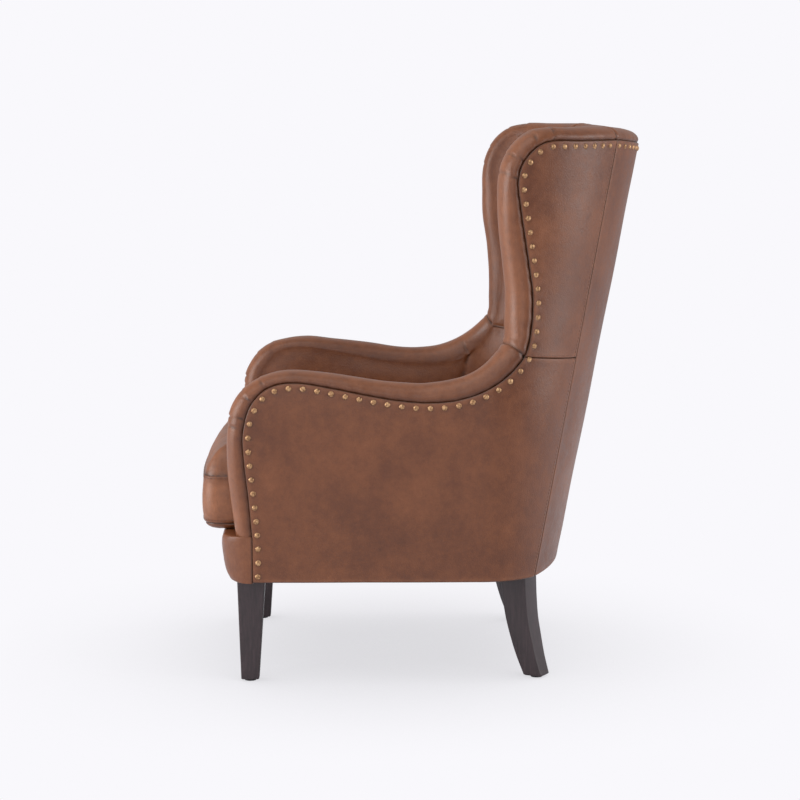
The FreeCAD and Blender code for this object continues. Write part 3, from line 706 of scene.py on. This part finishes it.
# painted shade where the rail's leather meets the arm panels
crease_shade = .8 * np.exp(-((side_y - rings[..., 1]) / .0022) ** 2)
rings += out * (.0009 * dents(rings, .12, 21) * np.clip((side_y - rings[..., 1]) / .02, 0, 1))[..., None]
# a faint even paler tint, part rub wear and part painted highlight
piece = skin("front rail leather", [net(rings, out, rows_of_faces(*rings.shape[:2]), crease_shade, .2)], leather)
finished(piece, "chair", "brown_leather", "front_rail_cover", "front_rail_pad")


# Seat cushion: boxed leather over foam, crowned on top, overhanging the front rail; a seam with a
# row of stitches below it round the top of the boxing, and another round the bottom
CUSHION_HALF = .272
CUSHION_FRONT = -.424
CUSHION_REAR = .174
FRONT_CORNER = .034
REAR_CORNER = .088
FRONT_BOW = .008
REAR_BOW = .026
LOW_SEAM = .0125
TOP_SEAM = .104
SEAM_WIDTH = .0017


def rounded(cx, cy, r, first, last):
    t = np.radians(np.linspace(first, last, 24))
    return np.stack([cx + r * np.cos(t), cy + r * np.sin(t)], 1)


def cushion_outline():
    u = np.linspace(-1, 1, 60)[1:-1]
    x1, y1 = CUSHION_HALF - FRONT_CORNER, CUSHION_FRONT + FRONT_CORNER
    x2, y2 = CUSHION_HALF - REAR_CORNER, CUSHION_REAR - REAR_CORNER
    front = np.stack([u * x1, CUSHION_FRONT - FRONT_BOW * (1 - u ** 2)], 1)
    back = np.stack([-u * x2, CUSHION_REAR + REAR_BOW * (1 - u ** 2)], 1)
    return np.vstack([front, rounded(x1, y1, FRONT_CORNER, -90, 0), rounded(x2, y2, REAR_CORNER, 0, 90),
                      back, rounded(-x2, y2, REAR_CORNER, 90, 180),
                      rounded(-x1, y1, FRONT_CORNER, 180, 270)])


plan_line = even(closed(cushion_outline()), .004)[:-1]
run = np.roll(plan_line, -1, 0) - np.roll(plan_line, 1, 0)
aside = np.stack([run[:, 1], -run[:, 0]], 1) / np.linalg.norm(run, axis=1)[:, None]
girth = along(closed(plan_line))[:-1]

# Boxing: height above the underside and how far the leather stands in from the outline, then the
# heights of its rows, closer together at the seams
boxing = np.array([(0, .024), (.0012, .018), (.004, .011), (LOW_SEAM, .0028), (.028, 0),
                   (.060, -.001), (.088, .0012), (TOP_SEAM, .0012)])
near_low = LOW_SEAM + np.array([-.003, -.0018, -.0008, 0, .0008, .0018, .003])
near_top = TOP_SEAM - np.array([.0008, .0018, .003, .0045])
rise = np.unique(np.concatenate([np.linspace(0, TOP_SEAM, 40), near_low, near_top]))
inset = hermite(boxing[:, 0], boxing[:, 1:], rise)[:, 0]
groove = sum(np.exp(-((rise - seam) / SEAM_WIDTH) ** 2) for seam in (LOW_SEAM, TOP_SEAM))
inset = inset + .0022 * groove
wall = np.stack([np.pad(plan_line - i * aside, ((0, 0), (0, 1)), constant_values=CUSHION_Z + h)
                 for i, h in zip(inset, rise)], 1)
wall_out = np.pad(aside, ((0, 0), (0, 1)))[:, None] + 0 * wall
calm = np.clip(np.minimum(rise - LOW_SEAM, TOP_SEAM - rise) / .02, 0, 1)
wave = np.sin(girth[:, None] * 2 * math.pi / .021 + 2 * np.sin(girth[:, None] * 9))
pucker = np.exp(-np.abs(rise - TOP_SEAM) / .012) * (1 - groove) * wave
bulge = calm * .0014 * dents(wall, .12, 31) + .0006 * pucker
wall = wall + wall_out * bulge[..., None]
faces = rows_of_faces(*wall.shape[:2], wrap=True)
# painted shade in the two seam grooves, and a paler tint between them, part rub wear and part painted
# highlight
sides = net(wall, wall_out, faces, .75 * groove, 1.1 * calm)

# Crowned top, by distance from its seam, and the plain underside
rim = wall[:, -1]
flat, faces = fill(rim, [0, 1], step=.008)
d, s = gap(np.pad(flat, ((0, 0), (0, 1))), np.pad(closed(rim)[:, :2], ((0, 0), (0, 1))))
crown = np.array([(0, TOP_SEAM), (.0015, .1095), (.004, .1165), (.008, .1245), (.020, .143),
                  (.041, .158), (.079, .168), (.131, .1745), (.30, .176)])
high = hermite(crown[:, 0], crown[:, 1:], d)[:, 0]
p = np.column_stack([flat, CUSHION_Z + high])
soft = np.clip(d / .05, 0, 1)
p[:, 2] += soft * (.0032 * dents(p, .26, 33) + .0012 * dents(p, .09, 34))
wave = np.sin(s * 2 * math.pi / .024 + 2.5 * np.sin(s * 7))
p[:, 2] += .0012 * np.exp(-d / .014) * np.clip(d / .004, 0, 1) * wave
p[:len(rim)] = rim
# a paler ring just inside the top's seam, part rub wear and part painted highlight; painted shade along the
# seam itself
worn_and_highlight = .4 + .5 * np.exp(-((d - .02) / .02) ** 2)
top = net(p, p * 0 + (0, 0, 1), faces, .75 * np.exp(-(d / .0018) ** 2), worn_and_highlight)
rim = wall[:, 0]
flat, faces = fill(rim, [0, 1], step=.03, rings=(.004, .012))
p = np.column_stack([flat, np.full(len(flat), CUSHION_Z)])
p[:len(rim)] = rim
# the whole underside gets a light painted shade
under = net(p, p * 0 - (0, 0, 1), faces, .3, 0.0)
piece = skin("seat cushion", [sides, top, under], leather)
finished(piece, "cushion", "brown_leather", "seat_cushion_cover", "seat_cushion_core")


# Legs: straight tapered squares in front, swept and turned ones behind, with softened edges
def leg(name, x, y, turn, lean, stations, node):
    # stations are (distance moved in the direction of lean, height, thickness)
    table = np.array(stations)
    order = np.argsort(table[:, 1])
    low, high = table[:, 1].min(), table[:, 1].max()
    z = np.unique(np.concatenate([np.linspace(low, high, 44), [low + .0015]]))
    values = hermite(table[order, 1], table[order][:, [0, 2]], z)
    values[0, 1] -= LEG_EDGE
    a = np.radians(np.linspace(0, 90, 5))
    quarter = np.stack([np.cos(a), np.sin(a)], 1)
    rings = []
    for (shift, size), height in zip(values, z):
        half = size / 2 - LEG_EDGE
        corner = [quarter * LEG_EDGE + half]
        for k in (1, 2, 3):
            corner.append(corner[-1] @ np.array([(0, 1), (-1, 0)]))
        ring = np.vstack(corner)
        c, w = math.cos(turn), math.sin(turn)
        ring = ring @ np.array([(c, w), (-w, c)]) + (x + shift * math.cos(lean), y + shift * math.sin(lean))
        rings.append(np.pad(ring, ((0, 0), (0, 1)), constant_values=height))
    rings = np.stack(rings, 1)
    n, m = rings.shape[:2]
    out = rings - rings.mean(0)
    faces = rows_of_faces(n, m, wrap=True)
    faces += [tuple(i * m for i in range(n))[::-1], tuple(i * m + m - 1 for i in range(n))]
    for side, flip in (("right", False), ("left", True)):
        piece = skin(name + " " + side, [net(rings, out, faces)], wood, flip)
        finished(piece, "chair", "espresso_wood", node + "_" + side)


FRONT_LEG = [(-.3315, .200, .053), (-.3350, .004, .034)]
leg("front leg", .276, 0, 0, math.pi / 2, FRONT_LEG, "front_leg")
REAR_LEG = [(0, .200, .052), (.0035, .150, .050), (.009, .110, .0475), (.016, .080, .0455),
            (.027, .040, .0415), (.040, .004, .0375)]
leg("rear leg", .237, .177, math.radians(60), math.radians(60), REAR_LEG, "rear_leg")


# Copies of a small mesh on marked points: nail heads and stitches
def copies(name, points, run, out, copy, material):
    name = name.replace(" ", "_")
    mesh = bpy.data.meshes.new(name)
    mesh.from_pydata(points.tolist(), [], [])
    for word, values in (("run", run), ("out", out)):
        a = mesh.attributes.new(word, "FLOAT_VECTOR", "POINT")
        a.data.foreach_set("vector", np.ravel(values))
    o = bpy.data.objects.new(name, mesh)
    bpy.context.collection.objects.link(o)
    tree = bpy.data.node_groups.new("copies on points", "GeometryNodeTree")
    face = tree.interface
    face.new_socket(name="Points", in_out="INPUT", socket_type="NodeSocketGeometry")
    inputs = {word: face.new_socket(name=word, in_out="INPUT", socket_type=kind)
              for word, kind in (("Copy", "NodeSocketObject"), ("Material", "NodeSocketMaterial"),
                                 ("Spread", "NodeSocketFloat"), ("Seed", "NodeSocketInt"))}
    face.new_socket(name="Copies", in_out="OUTPUT", socket_type="NodeSocketGeometry")
    given = tree.nodes.new("NodeGroupInput").outputs
    marks = [add(tree, "GeometryNodeInputNamedAttribute", {"Name": word}, data_type="FLOAT_VECTOR").outputs[0]
             for word in ("out", "run")]
    turned = add(tree, "FunctionNodeAxesToRotation", {0: marks[0], 1: marks[1]}, primary_axis="Z",
                 secondary_axis="X").outputs[0]
    least = math_node(tree, "SUBTRACT", 1.0, given["Spread"])
    most = math_node(tree, "ADD", 1.0, given["Spread"])
    size = add(tree, "FunctionNodeRandomValue", {"Seed": given["Seed"]}, data_type="FLOAT")
    tree.links.new(least, size.inputs[2])
    tree.links.new(most, size.inputs[3])
    shape = add(tree, "GeometryNodeObjectInfo", {"Object": given["Copy"]}).outputs["Geometry"]
    links = {"Points": given["Points"], "Instance": shape, "Rotation": turned, "Scale": size.outputs[1]}
    placed = add(tree, "GeometryNodeInstanceOnPoints", links).outputs[0]
    real = add(tree, "GeometryNodeRealizeInstances", {"Geometry": placed}).outputs[0]
    links = {"Geometry": real, "Material": given["Material"]}
    painted = add(tree, "GeometryNodeSetMaterial", links).outputs[0]
    tree.links.new(painted, tree.nodes.new("NodeGroupOutput").inputs[0])
    step = o.modifiers.new("copies", "NODES")
    step.node_group = tree
    for word, value in (("Copy", copy), ("Material", material), ("Spread", .03), ("Seed", 5)):
        step[inputs[word].identifier] = value
    bpy.context.view_layer.update()
    made = bpy.data.meshes.new_from_object(o.evaluated_get(bpy.context.evaluated_depsgraph_get()))
    o.modifiers.clear()
    o.data = made
    return o


def lathe(name, profile, sides, stretch=1.0):
    # small round solid: (radius, height) pairs from the pole down
    turn = np.linspace(0, 2 * math.pi, sides + 1)[:-1]
    r, h = np.array(profile).T
    c, w = np.cos(turn)[:, None], np.sin(turn)[:, None]
    rings = np.stack([c * r * stretch, w * r, h + 0 * c], -1)
    out = rings + (0, 0, .0001)
    o = skin(name, [net(rings, out, rows_of_faces(*rings.shape[:2], wrap=True))], brass)
    bpy.context.collection.objects.unlink(o)
    return o


# Nail heads: thin domed brass caps with a rolled rim, struck through the panel's folded edge
nail_head = lathe("nail head", [(0, .0032), (.0014, .0031), (.0028, .0026), (.0041, .0018), (.0050, .0009),
                                (.0055, .0002), (.0055, -.0006), (.0040, -.0010)], 18)
for name in ("nail_heads_right", "nail_heads_left", "nail_heads_back"):
    spots = nail_spots(name)
    sign = np.where(spots[:, :1] < 0, -1, 1) * np.array([[1, 0, 0]]) + np.array([[0, 1, 1]])
    if name == "nail_heads_back":
        spots, out = back_facing(spots[:, 0], spots[:, 2])
    else:
        spots, out = side_at(spots[:, 1], spots[:, 2])
        spots, out = spots * sign, out * sign
    run = np.cross(out, (0, 0, 1))
    piece = copies(name.replace("_", " "), spots - .0002 * out, run, out, nail_head, brass)
    finished(piece, "chair", "antique_brass", name)


# Stitches: short waxed threads, each sunk at its ends
def stitches(name, line, out, body, pitch=.0068):
    d = along(line)
    at = np.arange(pitch, d[-1] - pitch / 2, pitch)

    def taken(at, values):
        return np.stack([np.interp(at, d, values[:, k]) for k in range(3)], 1)

    step = .001
    run = taken(at + step, line) - taken(at - step, line)
    piece = copies(name, taken(at, line), run, taken(at, out), stitch, thread)
    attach(piece, body)


ring = [(.00045 * math.sin(a), .00045 * math.cos(a)) for a in np.linspace(0, math.pi, 7)]
stitch = lathe("stitch", ring, 10, stretch=5.2)
z = np.linspace(EDGE_Z - .012, BODY_LOW + .006, 300)
upward = seam_from(EDGE_Z, BODY_LOW)[::-1]
y = np.interp(z, upward[:, 2], upward[:, 1]) - STITCH_IN * .8
line, out = side_at(y, z)
y = np.linspace(.188, level_seam_end[1] - .008, 60)
start_y, start_z = LEVEL_FRONT
fall = (LEVEL_Z - start_z) * (y - start_y) / (level_seam_end[1] - start_y)
low_line, low_out = side_at(y, start_z + fall + STITCH_IN)
for side, sign in (("right", 1), ("left", -1)):
    m = np.array((sign, 1, 1))
    stitches("back seam stitches " + side, (line + STITCH_UP * out) * m, out * m, "chair")
    stitches("level seam stitches " + side, (low_line + STITCH_UP * low_out) * m, low_out * m, "chair")
for word, height in (("upper", TOP_SEAM - BOX_STITCH_IN), ("lower", LOW_SEAM + BOX_STITCH_IN)):
    k = int(np.argmin(np.abs(rise - height)))
    out = closed(wall_out[:, k])
    stitches("cushion stitches " + word, closed(wall[:, k]) + BOX_STITCH_UP * out, out, "cushion")

for o in (nail_head, stitch):
    bpy.data.objects.remove(o)

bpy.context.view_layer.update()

# Floor and backdrop: the camera sees one pale colour, darkened a little where the chair shades it
floor_mat, t, shader = new_material("pale floor")
finish_with(t, shader, Base_Color=linear(BACKDROP), Roughness=1.0, Specular_IOR_Level=0.0)
shaded = add(t, "ShaderNodeAmbientOcclusion", {"Distance": .55}, samples=8).outputs["AO"]
shaded = ranged(t, shaded, .74, 1.0, .25, .95)
backdrop = {0: linear(BACKDROP)[:3], "Scale": shaded}
backdrop = add(t, "ShaderNodeVectorMath", backdrop, operation="SCALE").outputs[0]
shine = add(t, "ShaderNodeEmission", {"Color": backdrop}).outputs[0]
seen = add(t, "ShaderNodeLightPath").outputs["Is Camera Ray"]
both = add(t, "ShaderNodeMixShader", {0: seen, 1: shader.outputs[0], 2: shine}).outputs[0]
t.links.new(both, t.nodes["Material Output"].inputs["Surface"])
bpy.ops.mesh.primitive_plane_add(size=60)
floor = bpy.context.object
floor.data.materials.append(floor_mat)
world = bpy.data.worlds.new("level light")
bpy.context.scene.world = world
world.use_nodes = True
t = world.node_tree
sky = t.nodes["Background"]
sky.inputs["Color"].default_value = linear(BACKDROP)
seen = add(t, "ShaderNodeLightPath").outputs["Is Camera Ray"]
t.links.new(mixed(t, seen, WORLD_LIGHT, 1.0), sky.inputs["Strength"])


def lamp(name, spot, size, power):
    light = bpy.data.lights.new(name, "AREA")
    light.size = size
    light.energy = power
    o = bpy.data.objects.new(name, light)
    o.location = spot
    o.rotation_euler = (Vector(LAMPS_AIM) - Vector(spot)).to_track_quat("-Z", "Y").to_euler()
    bpy.context.collection.objects.link(o)


lamp("top", (1.2, -.8, 3.2), 2.4, 30)
lamp("camera side", (4.0, -.6, 1.8), 2.6, 36)
lamp("in front", (.9, -3.8, 1.3), 2.4, 112)
lamp("behind", (.6, 3.8, 1.5), 2.4, 76)

# Camera: a long lens level with the wings, looking along -X
scene = bpy.context.scene
scene.view_settings.view_transform = "Standard"
lens = bpy.data.cameras.new("camera")
lens.lens = 108.0
lens.sensor_width = 36.0
camera = bpy.data.objects.new("camera", lens)
camera.location = CAMERA_AT
camera.rotation_euler = (math.radians(90 - CAMERA_DOWN), 0, math.radians(90 - CAMERA_ASIDE))
bpy.context.collection.objects.link(camera)
scene.camera = camera
